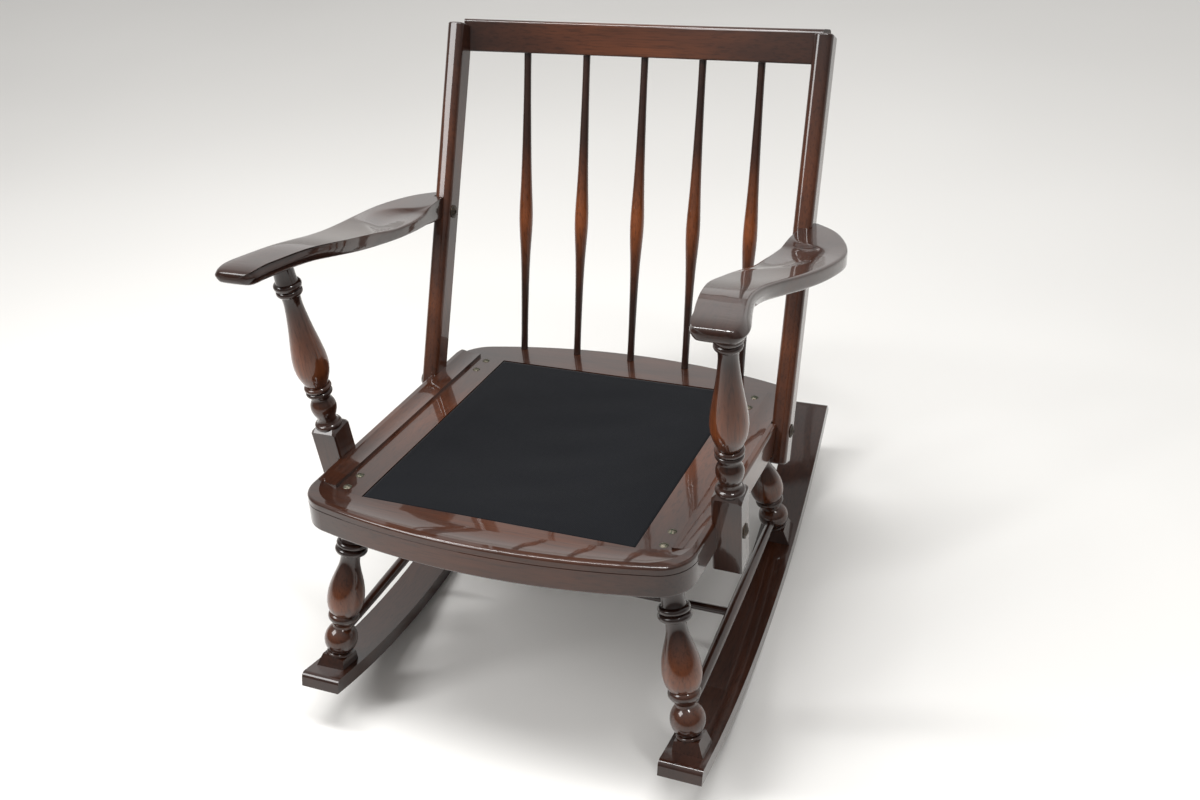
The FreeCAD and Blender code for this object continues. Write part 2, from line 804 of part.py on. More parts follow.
def arm_post(seat, arm):
    """Square block lapped over the seat's edge, with the turned part above it."""
    foot, head = arm_post_axis()
    length = (head - foot).Length
    half = block_size / 2
    box = block_edge_round(Part.makeBox(block_size, block_size, block_length, V(-half, -half, 0)))
    cap = frustum(block_size, 22.0, block_length, block_length + 7.0)
    dome = Part.makeSphere(30.0, V(0, 0, block_length - 19.0))
    box = box.fuse(cap).common(dome.fuse(Part.makeBox(80, 80, block_length - 4.0, V(-40, -40, 0))))
    body = placed(box.fuse(turning(arm_post_edges(length))), along(foot, head - foot))
    body = body.cut(seat).cut(Part.makeBox(200, 400, 400, V(block_lap - 200, -100, -200)))
    body = body.cut(arm)
    run = (head - foot).normalize()
    tenon = peg(head - run * 20.0, head + run * arm_post_tenon_length, arm_post_tenon_radius)
    return body.fuse(tenon).removeSplitter()


def arm_post_mortise():
    foot, head = arm_post_axis()
    run = (head - foot).normalize()
    return peg(head - run * 30.0, head + run * (arm_post_tenon_length + glue_gap),
               arm_post_tenon_radius + glue_gap)


# Arms
def arm_ring(y, inner, outer, top, thick, hollow):
    """Control points of one cross-section, outer underside first, going up and over to the inside."""
    low = top - thick
    soft = arm_front_soft * max(0.0, 1 - max(0.0, y) / arm_soft_until) * thick / arm_full_thick
    drop = soft * 0.6
    r = min(arm_edge_round + soft * 0.6, thick * 0.45, (outer - inner) * 0.3)
    wide = max(hollow, 2.0)
    sink = arm_hollow_depth * min(1.0, hollow / 50.0)
    rim_width = min(r, (outer - inner - wide - r) / 2)
    points = [
        (outer - r, low), (outer - soft, low + drop), (outer, low + r),
        (outer, top - r), (outer - soft, top - drop), (outer - r, top),
        (inner + wide + rim_width, top), (inner + wide, top - sink * 0.2),
        (inner + wide * 0.6, top - sink * 1.3), (inner + min(r, wide * 0.3), top - sink),
        (inner + soft, top - sink - drop), (inner, top - sink - r * 0.8),
        (inner, low + r), (inner + soft, low + drop), (inner + r, low),
    ]
    return [V(x, y, z) for x, z in points]


def arm(post):
    rings = [arm_ring(*station) for station in arm_stations]
    return control_loft(rings).cut(post)


# Fastenings
def slotted(head, radius, height):
    """Screwdriver slot across a domed head that faces up."""
    slot = Part.makeBox(2 * radius + 2, screw_slot, height,
                        V(-radius - 1, -screw_slot / 2, height * 0.45))
    return head.cut(slot)


def dome(radius, height):
    ball = (radius ** 2 + height ** 2) / (2 * height)
    cap = Part.makeSphere(ball, V(0, 0, height - ball))
    return cap.common(Part.makeCylinder(radius, height, V(0, 0, 0)))


def seat_screw(x, y):
    head = slotted(dome(seat_screw_head, seat_screw_dome), seat_screw_head, seat_screw_dome)
    shank = Part.makeCylinder(seat_screw_shank, -seat_screw_tip, V(0, 0, seat_screw_tip))
    screw = head.fuse(shank)
    screw.translate(V(x, y, 0))
    return screw


def seat_screw_hole(x, y):
    return Part.makeCylinder(seat_screw_shank + glue_gap, -seat_screw_tip + glue_gap + 1,
                             V(x, y, seat_screw_tip - glue_gap))


def bolt(length, plug):
    """Bolt along -z with a domed head and a washer that rests on z = 0."""
    washer = Part.makeCylinder(bolt_washer, bolt_washer_thick)
    head = dome(bolt_head, bolt_dome)
    head.translate(V(0, 0, bolt_washer_thick))
    shank = Part.makeCylinder(bolt_shank, length, V(0, 0, -length))
    head = head.cut(Part.makeCylinder(plug, bolt_dome, V(0, 0, bolt_washer_thick + bolt_dome * 0.35)))
    return washer.fuse(head).fuse(shank)


def bolt_set(surface_point, direction, length):
    """Bolt, its threaded sleeve, and the holes for both; direction points out of the wood."""
    place = along(surface_point, direction, V(0, 0, 1))
    solid = placed(bolt(length, 2.6), place)
    sleeve = Part.makeCylinder(insert_radius, insert_length, V(0, 0, -length))
    sleeve = sleeve.cut(Part.makeCylinder(bolt_shank + glue_gap, insert_length + 1, V(0, 0, -length)))
    sleeve_room = Part.makeCylinder(insert_radius + glue_gap, insert_length + 2 * glue_gap,
                                    V(0, 0, -length - glue_gap))
    shank_room = Part.makeCylinder(bolt_shank + glue_gap, length + glue_gap, V(0, 0, -length - glue_gap))
    return solid, placed(sleeve, place), placed(sleeve_room, place), placed(shank_room, place)


def seat_dowels():
    """Dowels square to the joint lines, two in each right-hand joint."""
    result = []
    for spots, front in ((front_dowels_at, True), (rear_dowels_at, False)):
        for x in spots:
            ahead = V(1, joint_y(x + 1, front) - joint_y(x, front), 0).normalize()
            across = V(-ahead.y, ahead.x, 0)
            middle = V(x, joint_y(x, front), dowel_height)
            result.append((middle - across * dowel_reach, middle + across * dowel_reach))
    return result


def rail_dowel():
    """Ends of the dowel driven from the top rail's back through its let-in end into the post."""
    reach = post_inner_half - post_toe_in + rail_lap / 2
    drop = rail_radius - math.sqrt(rail_radius ** 2 - reach ** 2)
    place = rail_placement()
    back = place.multVec(V(reach, -drop + rail_thick / 2 - rail_dowel_sunk, rail_dowel_height))
    front = place.multVec(V(reach, -drop - rail_thick / 2 - rail_dowel_past, rail_dowel_height))
    return front, back


# Assembly on the bench
def build():
    nodes = {}
    seat_raw, front_rail, rear_rail, side_rail = seat_rails()
    post_raw = post_blank()
    arm_solid = arm(post_raw)
    rail = top_rail()
    post = back_post().cut(rail)
    arm_post_solid = arm_post(seat_raw, arm_solid)
    arm_solid = arm_solid.cut(arm_post_mortise())
    side_rail = side_rail.cut(post_raw)
    foot = arm_post_axis()[0]
    block_face = foot.x + block_size / 2 + (arm_post_bolt_at[1] - foot.z) * arm_post_slope()
    post_face = post_inner_half + post_width
    bolts = {
        "arm_post_bolts": bolt_set(V(block_face, *arm_post_bolt_at), V(1, 0, 0),
                                   block_size + arm_post_bolt_reach),
        "back_post_bolts": bolt_set(V(post_face, *back_post_bolt_at), V(1, 0, 0),
                                    post_width + back_post_bolt_reach),
        "arm_bolts": bolt_set(V(post_inner_at(arm_bolt_at[1]), *arm_bolt_at), V(-1, 0, 0),
                              post_width + arm_bolt_reach),
    }
    for name in ("arm_post_bolts", "back_post_bolts"):
        _, _, sleeve_room, shank_room = bolts[name]
        side_rail = side_rail.cut(sleeve_room).cut(shank_room)
    arm_post_solid = arm_post_solid.cut(bolts["arm_post_bolts"][3])
    post = post.cut(bolts["back_post_bolts"][3]).cut(bolts["arm_bolts"][3])
    arm_solid = arm_solid.cut(bolts["arm_bolts"][2]).cut(bolts["arm_bolts"][3])
    dowel_front, dowel_back = rail_dowel()
    run = (dowel_back - dowel_front).normalize()
    drilled = peg(dowel_front - run * glue_gap, dowel_back + run * 10.0, rail_dowel_radius + glue_gap)
    post = post.cut(drilled)
    rail_pin = peg(dowel_front, dowel_back, rail_dowel_radius)
    for shape in both_sides(drilled).values():
        rail = rail.cut(shape)

    socket = side_stretcher_room()
    runner = rocker()
    screws, rocker_screws = [], []
    for name in legs:
        shape = leg(name).cut(socket)
        runner = runner.cut(leg_mortise(name))
        for x, y in seat_screw_at:
            shape = shape.cut(seat_screw_hole(x, y))
        low, high, head = rocker_screw_line(name)
        shape = shape.cut(peg(low, high, rocker_screw_shank + glue_gap))
        runner = runner.cut(peg(low, high, rocker_screw_shank + glue_gap)).cut(head["room"])
        rocker_screws.append(head["solid"])
        for side, solid in both_sides(shape).items():
            nodes["leg_%s_%s" % (name, side)] = solid
    for x, y in seat_screw_at:
        hole = seat_screw_hole(x, y)
        side_rail = side_rail.cut(hole)
        screws.append(seat_screw(x, y))

    pegs = []
    for start, end in seat_dowels():
        run = (end - start).normalize() * glue_gap
        room = peg(start - run, end + run, dowel_radius + glue_gap)
        side_rail = side_rail.cut(room)
        for shape in both_sides(room).values():
            front_rail = front_rail.cut(shape)
            rear_rail = rear_rail.cut(shape)
        pegs.append(peg(start, end, dowel_radius))

    for index in range(-2, 3):
        low, high = spindle_sockets(index)
        rear_rail = rear_rail.cut(low)
        rail = rail.cut(high)
        nodes["spindle_%d" % (index + 3)] = spindle(index)

    bar = side_stretcher().cut(cross_stretcher(glue_gap))
    nodes["cross_stretcher"] = cross_stretcher()
    nodes["seat_front_rail"] = front_rail
    nodes["seat_rear_rail"] = rear_rail
    nodes["top_rail"] = rail
    pairs = {
        "seat_side_rail": side_rail, "rocker": runner, "side_stretcher": bar, "back_post": post,
        "arm_post": arm_post_solid, "arm": arm_solid,
    }
    for name, shape in pairs.items():
        for side, solid in both_sides(shape).items():
            nodes["%s_%s" % (name, side)] = solid
    nodes.update(sling())
    groups = {
        "seat_screws": screws, "rocker_screws": rocker_screws, "seat_corner_dowels": pegs,
        "bolt_inserts": [parts[1] for parts in bolts.values()], "top_rail_dowels": [rail_pin],
    }
    for name, parts in bolts.items():
        groups[name] = [parts[0]]
    for name, solids in groups.items():
        mirrored = [both_sides(s)["left"] for s in solids]
        nodes[name] = Part.makeCompound(solids + mirrored)
    return nodes


def arm_post_slope():
    foot, head = arm_post_axis()
    return (head.x - foot.x) / (head.z - foot.z)


def post_inner_at(z):
    direction = post_direction()
    return post_inner_half + direction.x / direction.z * (z - post_foot[1])


def rocker_screw_line(part):
    """Countersunk screw up the leg's axis from the rocker's underside."""
    foot, head = leg_axis(part)
    run = (head - foot).normalize()
    start = foot - run * (rocker_thick - rocker_screw_sink)
    end = start + run * rocker_screw_length
    depth = rocker_screw_head - rocker_screw_shank
    cone = Part.makeCone(rocker_screw_head, rocker_screw_shank, depth, start, run)
    room = Part.makeCone(rocker_screw_head + glue_gap, rocker_screw_shank + glue_gap, depth, start, run)
    mouth = peg(start - run * 12.0, start, rocker_screw_head + glue_gap)
    solid = cone.fuse(peg(start, end, rocker_screw_shank))
    return start, end + run * glue_gap, {"solid": solid, "room": room.fuse(mouth)}


def sling():
    """Four slats on the ledges with the fabric stretched over them."""
    c = sling_clearance
    top = -fabric_sunk - fabric_thick
    low = -ledge_drop
    end = opening_depth - c

    def half(y):
        return opening_half(y) - c

    def plan(y1, y2, inner1, inner2):
        return [(inner1, y1), (half(y1), y1), (half(y2), y2), (inner2, y2)]

    w = slat_width
    slats = {
        "sling_slat_front": [(-half(c), c), (half(c), c), (half(c + w), c + w), (-half(c + w), c + w)],
        "sling_slat_rear": [(-half(end - w), end - w), (half(end - w), end - w),
                            (half(end), end), (-half(end), end)],
        "sling_slat_right": plan(c + w, end - w, half(c + w) - w, half(end - w) - w),
    }
    slats["sling_slat_left"] = [(-x, y) for x, y in slats["sling_slat_right"]]
    nodes = {name: prism(points, low, top) for name, points in slats.items()}
    cloth = [(-half(c), c), (half(c), c), (half(end), end), (-half(end), end)]
    nodes["seat_fabric"] = prism(cloth, top, top + fabric_thick)
    return nodes


# Standing the chair on the floor
def density(name):
    if name == "seat_fabric":
        return fabric_density
    if name.endswith(("screws", "bolts", "inserts")):
        return steel_density
    return wood_density


def balance(nodes):
    """Tilt that puts the centre of mass plumb above the floor's touch, and the centre it rolls about."""
    total, moment = 0.0, V(0, 0, 0)
    for name, shape in nodes.items():
        for solid in shape.Solids:
            mass = solid.Volume * density(name)
            total += mass
            moment += solid.CenterOfMass * mass
    centre = moment * (1 / total)
    print("mass kg", round(total, 2), "centre", [round(c, 1) for c in centre])
    for part in ("front", "rear"):
        pivot, _ = rocker_arc(part)
        tilt = math.degrees(math.atan2(centre.y - pivot.y, pivot.z - centre.z))
        if part == "rear" or tilt <= rest_tilt:
            return tilt, pivot


def stand(nodes):
    tilt, pivot = balance(nodes)
    print("tilt at rest", round(tilt, 2))
    box = FreeCAD.BoundBox()
    for shape in nodes.values():
        shape.rotate(pivot, V(1, 0, 0), -tilt)
        box.add(shape.optimalBoundingBox(False))
    middle = V((box.XMin + box.XMax) / 2, (box.YMin + box.YMax) / 2, box.ZMin)
    for shape in nodes.values():
        shape.translate(middle * -1)
    print("size", round(box.XLength, 1), round(box.YLength, 1), round(box.ZLength, 1))
    return nodes


def main():
    os.makedirs("parts", exist_ok=True)
    for name, shape in stand(build()).items():
        solids = len(shape.Solids)
        if solids == 1:
            shape = shape.Solids[0]
        state = "valid" if shape.isValid() else "NOT VALID"
        print(name, solids, round(shape.Volume / 1000, 2), "cm3", state)
        shape.exportStep("parts/%s.step" % name)


main()
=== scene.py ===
# %% [markdown]
# # The looks of a lacquered rocking chair
# The chair is a dark, very glossy wooden frame: turned legs on two curved rockers, S-shaped arms,
# five slender spindles and a black cloth sling in the seat. Its solids come from the workshop model.
# This lesson dresses them. The turnings get a lacquer with a sunburst of amber on their bellies, a
# woven cloth takes the place of the flat slab in the seat, and the screws get dull metal.

# %% Open the workshop model
import bpy
import math
from mathutils import Matrix, Vector


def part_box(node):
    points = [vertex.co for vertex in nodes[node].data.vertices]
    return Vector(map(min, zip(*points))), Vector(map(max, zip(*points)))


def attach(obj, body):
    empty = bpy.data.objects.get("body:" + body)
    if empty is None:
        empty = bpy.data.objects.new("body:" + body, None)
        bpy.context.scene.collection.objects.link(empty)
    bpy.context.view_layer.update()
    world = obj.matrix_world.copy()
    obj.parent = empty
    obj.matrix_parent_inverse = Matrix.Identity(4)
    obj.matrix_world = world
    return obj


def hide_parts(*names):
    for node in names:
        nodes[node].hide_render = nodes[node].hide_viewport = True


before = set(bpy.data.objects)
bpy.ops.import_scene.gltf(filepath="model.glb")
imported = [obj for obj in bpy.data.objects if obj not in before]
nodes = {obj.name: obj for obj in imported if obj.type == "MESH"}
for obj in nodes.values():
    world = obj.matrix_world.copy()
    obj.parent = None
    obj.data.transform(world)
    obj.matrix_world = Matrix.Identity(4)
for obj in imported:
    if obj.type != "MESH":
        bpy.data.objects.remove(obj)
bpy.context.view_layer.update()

# %% [markdown]
# ## The camera
# The eye stands in front of the chair, to its right and above it, and looks down at about 36 degrees.
# A camera can be placed by trial until the picture looks right, or solved from things whose directions
# are known. Here it was solved, from level lines and from points of the chair that exist on both
# sides. The picture is also rolled by about six degrees.

# %% What the picture tells about the eye
PICTURE_WIDTH = 1200.0
FOCAL_PIXELS = 1174.35
SENSOR_MM = 36.0
EYE = Vector((0.5741, -1.2101, 1.2760))
YAW, PITCH, ROLL = (math.radians(a) for a in (24.157, 35.568, -6.425))


def camera_axes(yaw, pitch, roll):
    """Right, up and forward of a camera with that yaw, downward pitch and roll."""
    level = math.cos(pitch)
    forward = Vector((-math.sin(yaw) * level, math.cos(yaw) * level, -math.sin(pitch)))
    right = Vector((math.cos(yaw), math.sin(yaw), 0.0))
    up = right.cross(forward)
    turned_right = right * math.cos(roll) + up * math.sin(roll)
    turned_up = up * math.cos(roll) - right * math.sin(roll)
    return turned_right, turned_up, forward


right, up, forward = camera_axes(YAW, PITCH, ROLL)
print("looks along", [round(v, 3) for v in forward])

# %% Place the camera
lens = bpy.data.cameras.new("eye")
lens.sensor_width = SENSOR_MM
lens.lens = FOCAL_PIXELS / PICTURE_WIDTH * SENSOR_MM
camera = bpy.data.objects.new("eye", lens)
bpy.context.scene.collection.objects.link(camera)
axes = Matrix((right, up, -forward)).transposed().to_4x4()
camera.matrix_world = Matrix.Translation(EYE) @ axes
bpy.context.scene.camera = camera
print("lens mm", round(lens.lens, 2))

# %% [markdown]
# ## Tools for the finishes
# A finish is a network of nodes. It could be wired line by line for each piece, but the same few moves
# come back each time: add a node and join its inputs, map a value to another span, turn a value into a
# colour, raise a relief. So each move is a small helper, and a finish then reads like a recipe.

# %% Add nodes and start a finish
def add(tree, kind, links=None, **settings):
    """A node of that kind; links maps an input to a value or to another node's output."""
    node = tree.nodes.new(kind)
    for key, value in settings.items():
        setattr(node, key, value)
    for key, value in (links or {}).items():
        if isinstance(value, bpy.types.NodeSocket):
            tree.links.new(value, node.inputs[key])
        else:
            node.inputs[key].default_value = value
    return node


def new_finish(name, **even):
    """A new material, its nodes and its shader; even holds the values that are the same all over."""
    material = bpy.data.materials.new(name)
    material.use_nodes = True
    tree = material.node_tree
    shader = tree.nodes["Principled BSDF"]
    for key, value in even.items():
        shader.inputs[key.replace("_", " ")].default_value = value
    return material, tree, shader


def dress(piece, material):
    """Give a piece that material and no other."""
    piece.data.materials.clear()
    piece.data.materials.append(material)


print("helpers: add, new_finish, dress")

# %% Shape a value on its way to the shader
def own_place(tree):
    """The place of a point in the chair's own frame, in metres."""
    return add(tree, "ShaderNodeTexCoord").outputs["Object"]


def remap(tree, value, source, target):
    """The value carried from one span to another."""
    return add(tree, "ShaderNodeMapRange", {
        "Value": value, "From Min": source[0], "From Max": source[1],
        "To Min": target[0], "To Max": target[1]}).outputs["Result"]


def combine(tree, operation, first, second):
    """Two values multiplied, or the larger of them, as the operation says."""
    return add(tree, "ShaderNodeMath", {0: first, 1: second}, operation=operation).outputs["Value"]


def ramp(tree, factor, stops):
    """Colour ramp over (place, grey) or (place, (r, g, b)) stops."""
    node = add(tree, "ShaderNodeValToRGB", {"Fac": factor})
    elements = node.color_ramp.elements
    while len(elements) < len(stops):
        elements.new(0.5)
    for element, (place, shade) in zip(elements, stops):
        element.position = place
        rgb = shade if isinstance(shade, tuple) else (shade, shade, shade)
        element.color = (*rgb, 1.0)
    return node.outputs["Color"]


def raise_relief(tree, shader, socket, height, strength, distance):
    """Bump the surface, or only its coat, by a height that the nodes give."""
    bump = add(tree, "ShaderNodeBump", {"Height": height, "Strength": strength, "Distance": distance})
    tree.links.new(bump.outputs["Normal"], shader.inputs[socket])


def drawn_noise(tree, place, axis, across, along, **noise):
    """Noise that is fine across the axis and drawn out along it, as wood fibres are."""
    stretch = [across] * 3
    stretch[axis] = along
    mapped = add(tree, "ShaderNodeMapping", {"Vector": place, "Scale": stretch}).outputs["Vector"]
    return add(tree, "ShaderNodeTexNoise", {"Vector": mapped, **noise}).outputs["Fac"]


print("helpers: own_place, remap, combine, ramp, raise_relief, drawn_noise")

# %% [markdown]
# ## The lacquer
# The wood is stained nearly black and rubbed back in places, so that a warm amber shows through: on
# the belly of each vase, on the swelling of each spindle and in the middle of the rails. A painted
# picture could hold that, but it would belong to one piece only. A list of stops along the piece does
# the same for any piece, and says plainly where the amber is. Fine fibres darken the colour, a broad
# cloud makes it uneven, and a clear coat over all of it gives the shine.

# %% The colours and the grain
STAIN = (0.0085, 0.0034, 0.0027)
UMBER = (0.024, 0.0090, 0.0055)
AMBER = (0.175, 0.047, 0.013)
FIBRES = {"across": 160.0, "along": 7.0, "Scale": 2.2, "Detail": 6.0, "Roughness": 0.62}
CLOUDS = {"across": 22.0, "along": 2.5, "Scale": 1.6, "Detail": 3.0}
CLOUD_SPAN, MOTTLE_SPAN = (0.3, 0.7), (0.55, 1.25)
FIBRE_STOPS = [(0.34, 0.42), (0.50, 0.92), (0.68, 1.0)]
FIBRE_STRENGTH = 0.75
COAT_RIPPLE, COAT_RIPPLE_DEEP = 0.05, 0.002
LACQUERED = {"Roughness": 0.34, "Coat_Weight": 1.0, "Coat_Roughness": 0.045, "Coat_IOR": 1.52,
             "Specular_IOR_Level": 0.12}
print("stain", STAIN, "amber", AMBER)

# %% Mix the lacquer
def mix_colours(tree, factor, first, second, **kind):
    """Two colours mixed by a factor."""
    return add(tree, "ShaderNodeMix", {"Factor": factor, "A": first, "B": second},
               data_type="RGBA", **kind).outputs["Result"]


def lacquer(name, low, high, axis, stops):
    """Lacquered wood whose amber follows the stops from low to high along the axis (0, 1 or 2)."""
    material, tree, shader = new_finish(name, **LACQUERED)
    place = own_place(tree)
    along = add(tree, "ShaderNodeSeparateXYZ", {"Vector": place}).outputs[axis]
    burst = ramp(tree, remap(tree, along, (low, high), (0.0, 1.0)), stops)
    fibres = drawn_noise(tree, place, axis, **FIBRES)
    clouds = drawn_noise(tree, place, axis, **CLOUDS)

    glow = combine(tree, "MULTIPLY", burst, remap(tree, clouds, CLOUD_SPAN, MOTTLE_SPAN))
    dark = mix_colours(tree, clouds, (*STAIN, 1), (*UMBER, 1))
    warm = mix_colours(tree, glow, dark, (*AMBER, 1))
    lines = ramp(tree, fibres, FIBRE_STOPS)
    colour = mix_colours(tree, FIBRE_STRENGTH, warm, lines, blend_type="MULTIPLY")
    tree.links.new(colour, shader.inputs["Base Color"])
    raise_relief(tree, shader, "Coat Normal", clouds, COAT_RIPPLE, COAT_RIPPLE_DEEP)
    return material


print("lacquer ready")

# %% [markdown]
# ## Where the amber shows
# Each kind of piece has an axis and a row of stops. The first number of a stop is the place along the
# piece, from 0 at its low end to 1 at its high end, and the second is how much amber shows there. They
# were judged against the photo, not measured, so they can be changed freely.

# %% The sunbursts
X, Y, Z = 0, 1, 2
BURSTS = {
    "leg_front": (Z, [(0.0, 0.05), (0.17, 0.08), (0.27, 0.30), (0.36, 0.06), (0.45, 0.80),
                      (0.60, 0.25), (0.72, 0.04), (1.0, 0.03)]),
    "leg_rear": (Z, [(0.0, 0.05), (0.18, 0.05), (0.28, 0.25), (0.37, 0.05), (0.46, 0.55),
                     (0.60, 0.20), (0.72, 0.04), (1.0, 0.03)]),
    "arm_post": (Z, [(0.0, 0.05), (0.18, 0.22), (0.31, 0.05), (0.39, 0.22), (0.46, 0.05),
                     (0.56, 0.85), (0.68, 0.50), (0.82, 0.06), (1.0, 0.03)]),
    "spindle": (Z, [(0.0, 0.02), (0.24, 0.05), (0.38, 0.45), (0.48, 1.0), (0.60, 0.50),
                    (0.72, 0.06), (1.0, 0.02)]),
    "back_post": (Z, [(0.0, 0.10), (0.14, 0.35), (0.30, 0.50), (0.48, 0.12), (0.66, 0.40),
                      (0.84, 0.15), (1.0, 0.04)]),
    "top_rail": (X, [(0.0, 0.04), (0.18, 0.14), (0.36, 0.34), (0.5, 0.40), (0.66, 0.30),
                     (0.84, 0.12), (1.0, 0.04)]),
    "seat_side_rail": (Y, [(0.0, 0.06), (0.25, 0.20), (0.5, 0.42), (0.75, 0.26), (1.0, 0.06)]),
    "seat_front_rail": (X, [(0.0, 0.05), (0.25, 0.22), (0.5, 0.30), (0.75, 0.22), (1.0, 0.06)]),
    "seat_rear_rail": (X, [(0.0, 0.06), (0.3, 0.14), (0.5, 0.18), (0.7, 0.14), (1.0, 0.06)]),
    "arm": (Y, [(0.0, 0.05), (0.2, 0.07), (0.5, 0.12), (0.8, 0.08), (1.0, 0.05)]),
    "rocker": (Y, [(0.0, 0.05), (0.12, 0.10), (0.5, 0.14), (0.88, 0.10), (1.0, 0.05)]),
    "side_stretcher": (Y, [(0.0, 0.03), (0.5, 0.14), (1.0, 0.03)]),
    "cross_stretcher": (X, [(0.0, 0.02), (0.5, 0.06), (1.0, 0.02)]),
}
print("kinds with a sunburst", len(BURSTS))

# %% Lacquer every wooden piece
KINDS = sorted(BURSTS, key=len, reverse=True)


def kind_of(name):
    """The longest kind whose name the piece's name starts with, or None."""
    return next((kind for kind in KINDS if name.startswith(kind)), None)


wooden = [n for n in sorted(nodes) if kind_of(n) and not n.endswith(("bolts", "dowels", "screws"))]
for name in wooden:
    axis, stops = BURSTS[kind_of(name)]
    low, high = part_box(name)
    dress(nodes[name], lacquer("lacquer " + name, low[axis], high[axis], axis, stops))
print("lacquered", len(wooden), "pieces")

# %% [markdown]
# ## Hidden wood
# The light frame under the cloth and the glued dowels hardly show. They could share the lacquer, but a
# real frame leaves them raw, so they are plain pale wood with the grain along each piece.

# %% Plain wood
PLAIN_FIBRES = {"across": 120.0, "along": 5.0, "Scale": 2.0, "Detail": 5.0}
PLAIN_STOPS = [(0.3, (0.34, 0.20, 0.10)), (0.7, (0.56, 0.38, 0.21))]


def plain_wood(name, axis):
    """Raw wood with its fibres along the axis."""
    material, tree, shader = new_finish(name, Roughness=0.7)
    fibres = drawn_noise(tree, own_place(tree), axis, **PLAIN_FIBRES)
    tree.links.new(ramp(tree, fibres, PLAIN_STOPS), shader.inputs["Base Color"])
    return material


hidden = [n for n in sorted(nodes) if n.startswith("sling_slat") or n.endswith("dowels")]
for name in hidden:
    low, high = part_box(name)
    longest = max(range(3), key=lambda k: high[k] - low[k])
    dress(nodes[name], plain_wood("plain wood " + name, longest))
print("plain wood on", hidden)

# %% [markdown]
# ## Metal
# On the real chair the front screws are dull and brownish and the rear ones have turned greenish. The
# eight seat screws are one group here, so they share one finish between the two: dull steel with
# greenish spots. The bolts are blackened, with lighter specks. A fine noise decides where the second
# colour starts, and also makes those places rougher.

# %% Worn metal
SPOTS = {"Scale": 420.0, "Detail": 5.0}
SPOT_SPAN = (0.3, 0.7)
SPOT_EDGE = 0.08
ROUGHER = 0.35


def worn_metal(name, clean, stained, cut, rough):
    """Metal whose stain starts where a fine noise passes the cut."""
    material, tree, shader = new_finish(name, Metallic=0.85)
    spots = add(tree, "ShaderNodeTexNoise", {"Vector": own_place(tree), **SPOTS}).outputs["Fac"]
    colour = ramp(tree, spots, [(cut - SPOT_EDGE, clean), (cut + SPOT_EDGE, stained)])
    tree.links.new(colour, shader.inputs["Base Color"])
    dull = remap(tree, spots, SPOT_SPAN, (rough, min(1.0, rough + ROUGHER)))
    tree.links.new(dull, shader.inputs["Roughness"])
    raise_relief(tree, shader, "Normal", spots, 0.3, 0.0004)
    return material


print("worn metal ready")

# %% Finish the screws, bolts and sleeves
BLACKENED = ((0.055, 0.045, 0.038), (0.12, 0.09, 0.06), 0.60, 0.35, "bolt_steel")
METALS = {
    "seat_screws": ((0.15, 0.13, 0.10), (0.055, 0.065, 0.045), 0.52, 0.40, "screw_steel"),
    "rocker_screws": ((0.30, 0.28, 0.24), (0.12, 0.09, 0.07), 0.55, 0.35, "screw_steel"),
    "arm_post_bolts": BLACKENED,
    "back_post_bolts": BLACKENED,
    "arm_bolts": BLACKENED,
    "bolt_inserts": ((0.40, 0.36, 0.28), (0.20, 0.17, 0.12), 0.55, 0.40, "bolt_steel"),
}
for name, (clean, stained, cut, rough, slot) in METALS.items():
    dress(nodes[name], worn_metal("metal " + name, clean, stained, cut, rough))
print("metal on", sorted(METALS))

# %% [markdown]
# ## The sling
# The cloth is stretched over the light frame in the seat's opening and lies almost flush with the wood.
# A cloth simulation would be the usual way to a slack cloth, but this one is taut and hardly moves. So
# it is drawn as a grid between the four corners of its slab: flat where the frame carries it, 5 mm
# lower in the middle, with faint ripples. The depth of the sag is a guess.

# %% Find the corners of the opening
END_BAND = 0.002


def slab_corners(name):
    """Upper corners of a slab that slopes along y: front left, front right, rear left, rear right."""
    points = [v.co.copy() for v in nodes[name].data.vertices]
    corners = []
    for end in (min(p.y for p in points), max(p.y for p in points)):
        near = [p for p in points if abs(p.y - end) < END_BAND]
        for side in (-1, 1):
            corners.append(max((p for p in near if p.x * side > 0), key=lambda p: p.z))
    return corners


corners = slab_corners("seat_fabric")
front_left, front_right, rear_left, rear_right = corners

# %% How far the cloth drops
CARRIED = 0.026
HALF_ACROSS, HALF_ALONG = 0.19, 0.215
SAG = 0.005
RIPPLE = 0.0004
QUARTER_TURN = math.pi / 2


def eased(from_edge, half):
    """0 where the frame carries the cloth, rising smoothly to 1 in the middle."""
    return math.sin(QUARTER_TURN * min(1.0, max(0.0, from_edge - CARRIED) / (half - CARRIED)))


def drop(u, v, from_side, from_end):
    """How far the cloth lies under the straight surface at (u, v), each from 0 to 1."""
    free = eased(from_side, HALF_ACROSS) * eased(from_end, HALF_ALONG)
    wave = math.sin(v * 31.0 + 2.2 * math.sin(u * 5.0)) * math.sin(u * 7.0 + 1.0)
    return SAG * free - RIPPLE * wave * min(1.0, 4 * free)


print("drop in the middle mm", round(1000 * drop(0.5, 0.5, HALF_ACROSS, HALF_ALONG), 2))

# %% Draw the cloth
ROWS, COLUMNS = 96, 84
CLOTH_THICK = 0.0012


def sling_points():
    """The grid's points, row by row from the front."""
    along = rear_left - front_left
    normal = (front_right - front_left).cross(along).normalized()
    points = []
    for row in range(ROWS + 1):
        v = row / ROWS
        left, right = front_left.lerp(rear_left, v), front_right.lerp(rear_right, v)
        for column in range(COLUMNS + 1):
            u = column / COLUMNS
            from_side = min(u, 1 - u) * (right - left).length
            from_end = min(v, 1 - v) * along.length
            points.append(left.lerp(right, u) - normal * drop(u, v, from_side, from_end))
    return points


